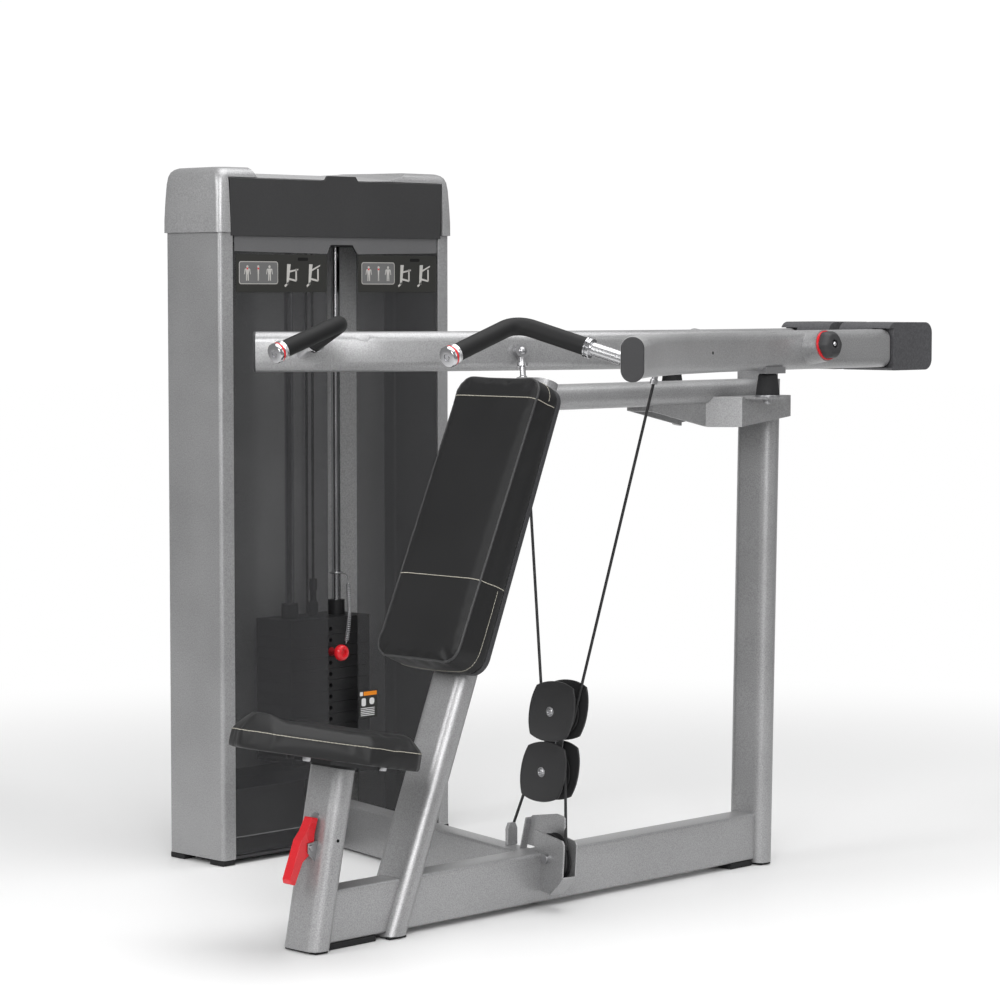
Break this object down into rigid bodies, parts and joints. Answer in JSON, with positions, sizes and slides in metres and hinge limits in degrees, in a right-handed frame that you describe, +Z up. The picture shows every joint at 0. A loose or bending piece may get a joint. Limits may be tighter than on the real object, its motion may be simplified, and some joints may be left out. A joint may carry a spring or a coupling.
{
  "type": "shoulder press machine",
  "caption": "Seated shoulder press machine with two converging lever arms, counterweights, a cable and pulley drive and a tower with a pin-selected weight stack.",
  "frame": {"origin": "on the floor, at the centre of the bounding box's underside", "axes": "+Z up, -Y the way the seated user faces, +X the user's left, the weight tower on the -X side"},
  "size_m": [1.4968, 1.8956, 1.506],
  "materials": {
    "frame_paint": "silver textured powder coat",
    "dark_paint": "matt dark grey",
    "cast_weight": "painted dark grey",
    "plate_steel": "satin black paint",
    "rubber": "matt black",
    "chrome": "polished",
    "black_plastic": "fine grain",
    "silver_plastic": "silver painted moulding",
    "grey_panel": "satin grey",
    "tinted": "tinted clear sheet",
    "cable_skin": "coated steel cable",
    "vinyl": "black upholstery vinyl",
    "red": "red",
    "steel": "zinc-plated"
  },
  "bodies": {
    "frame": {"base_tube": "frame_paint", "cross_tube": "frame_paint", "seat_post": "frame_paint", "back_post": "frame_paint", "rear_upright": "frame_paint", "top_tube": "frame_paint", "rubber_feet": "rubber", "pivot_beam": "frame_paint", "pivot_shafts": "steel", "bumper_bracket": "dark_paint", "arm_bumpers": "rubber", "frame_bolts": "steel", "base_bracket": "frame_paint", "anchor_cable": "cable_skin", "riser_cable": "cable_skin", "tower_cable": "cable_skin", "stack_cable": "cable_skin", "post_bush": "black_plastic", "lever_bracket": "frame_paint", "backrest_board": "black_plastic", "backrest_pad": "vinyl", "tower_columns": "frame_paint", "tower_cap": "silver_plastic", "tower_panels": "grey_panel", "tower_window": "tinted", "tower_frame": "dark_paint", "guide_rods": "chrome", "resting_plates": "plate_steel"},
    "left_arm": {"press_arm_left": "frame_paint", "arm_end_cap_left": "black_plastic", "pivot_bush_left": "black_plastic", "pivot_cap_left": "black_plastic", "counterweight_left": "cast_weight", "handle_bar_left": "chrome", "hand_grip_left": "rubber"},
    "right_arm": {"press_arm_right": "frame_paint", "arm_end_cap_right": "black_plastic", "pivot_bush_right": "black_plastic", "pivot_cap_right": "black_plastic", "counterweight_right": "cast_weight", "handle_bar_right": "chrome", "hand_grip_right": "rubber"},
    "left_cable": {"arm_cable_left": "cable_skin"},
    "right_cable": {"arm_cable_right": "cable_skin"},
    "pulley_block": {"block_plates": "dark_paint", "block_links": "steel", "block_cables": "cable_skin"},
    "block_upper_wheel": {"upper_block_pulley": "black_plastic"},
    "block_lower_wheel": {"lower_block_pulley": "black_plastic"},
    "base_wheel": {"base_pulley": "black_plastic"},
    "tower_foot_wheel": {"tower_foot_pulley": "black_plastic"},
    "tower_head_wheel": {"tower_head_pulley": "black_plastic"},
    "weight_carriage": {"carried_plates": "plate_steel", "stack_head": "plate_steel", "lanyard": "cable_skin"},
    "pin": {"selector_pin": "red"},
    "seat": {"seat_pad": "vinyl", "seat_stem": "frame_paint"},
    "lever": {"seat_lever": "red"},
    "latch": {"latch_pin": "steel"}
  },
  "joints": [
    {"name": "left_arm_hinge", "type": "hinge", "parent": "frame", "child": "left_arm", "pos_m": [0.20765, 0.52984, 1.096], "axis": [-0.9877, 0, -0.1564], "range_deg": [0, 30]},
    {"name": "right_arm_hinge", "type": "hinge", "parent": "frame", "child": "right_arm", "pos_m": [0.20765, 0.52984, 1.096], "axis": [-0.9877, 0, 0.1564], "range_deg": [0, 30]},
    {"name": "block_lift", "type": "slide", "parent": "frame", "child": "pulley_block", "axis": [0, 0, 1], "range_m": [0, 0.26843], "deforming": ["riser_cable", "anchor_cable"]},
    {"name": "stack_lift", "type": "slide", "parent": "frame", "child": "weight_carriage", "axis": [0, 0, 1], "range_m": [0, 0.53686], "deforming": ["stack_cable"]},
    {"name": "left_cable_swing", "type": "hinge", "parent": "left_arm", "child": "left_cable", "pos_m": [0.40112, -0.0021, 1.116], "axis": [0.9763, -0.1131, -0.1844], "range_deg": [0, 23.94]},
    {"name": "right_cable_swing", "type": "hinge", "parent": "right_arm", "child": "right_cable", "pos_m": [0.01418, -0.0021, 1.116], "axis": [0.9763, 0.1131, 0.1844], "range_deg": [0, 23.94]},
    {"name": "upper_block_pulley_spin", "type": "hinge", "parent": "pulley_block", "child": "block_upper_wheel", "pos_m": [0.20765, -0.09316, 0.39], "axis": [0, 1, 0], "continuous": true},
    {"name": "lower_block_pulley_spin", "type": "hinge", "parent": "pulley_block", "child": "block_lower_wheel", "pos_m": [0.18365, -0.09316, 0.264], "axis": [0, -1, 0], "range_deg": [0, 342.14]},
    {"name": "base_pulley_spin", "type": "hinge", "parent": "frame", "child": "base_wheel", "pos_m": [0.26165, -0.16333, 0.104], "axis": [-0.2198, -0.9755, 0], "range_deg": [0, 683.27]},
    {"name": "tower_foot_pulley_spin", "type": "hinge", "parent": "frame", "child": "tower_foot_wheel", "pos_m": [-0.68145, 0.04921, 0.104], "axis": [-0.2198, -0.9755, 0], "range_deg": [0, 683.27]},
    {"name": "tower_head_pulley_spin", "type": "hinge", "parent": "frame", "child": "tower_head_wheel", "pos_m": [-0.68935, 0.03597, 1.4], "axis": [-0.5405, -0.8413, 0], "range_deg": [0, 718.51]},
    {"name": "pin_pull", "type": "slide", "parent": "weight_carriage", "child": "pin", "axis": [1, 0, 0], "range_m": [0, 0.075]},
    {"name": "seat_height", "type": "slide", "parent": "frame", "child": "seat", "axis": [0, 0.1977, 0.9803], "range_m": [0, 0.15]},
    {"name": "lever_pull", "type": "hinge", "parent": "frame", "child": "lever", "pos_m": [0.20765, -0.78016, 0.197], "axis": [1, 0, 0], "range_deg": [0, 20], "stiffness_Nm_per_rad": 1.5},
    {"name": "latch_slide", "type": "slide", "parent": "frame", "child": "latch", "axis": [0, -0.9803, 0.1977], "range_m": [0, 0.0071]}
  ],
  "couplings": [
    {"joint": "right_arm_hinge", "follows": "left_arm_hinge", "ratio": 1},
    {"joint": "block_lift", "follows": "left_arm_hinge", "m_per_rad": 0.51171},
    {"joint": "stack_lift", "follows": "left_arm_hinge", "m_per_rad": 1.0234},
    {"joint": "left_cable_swing", "follows": "left_arm_hinge", "ratio": 0.79134},
    {"joint": "right_cable_swing", "follows": "left_arm_hinge", "ratio": 0.79134},
    {"joint": "lower_block_pulley_spin", "follows": "left_arm_hinge", "ratio": 11.371},
    {"joint": "base_pulley_spin", "follows": "left_arm_hinge", "ratio": 22.742},
    {"joint": "tower_foot_pulley_spin", "follows": "left_arm_hinge", "ratio": 22.742},
    {"joint": "tower_head_pulley_spin", "follows": "left_arm_hinge", "ratio": 23.917},
    {"joint": "latch_slide", "follows": "lever_pull", "m_per_rad": 0.02}
  ]
}
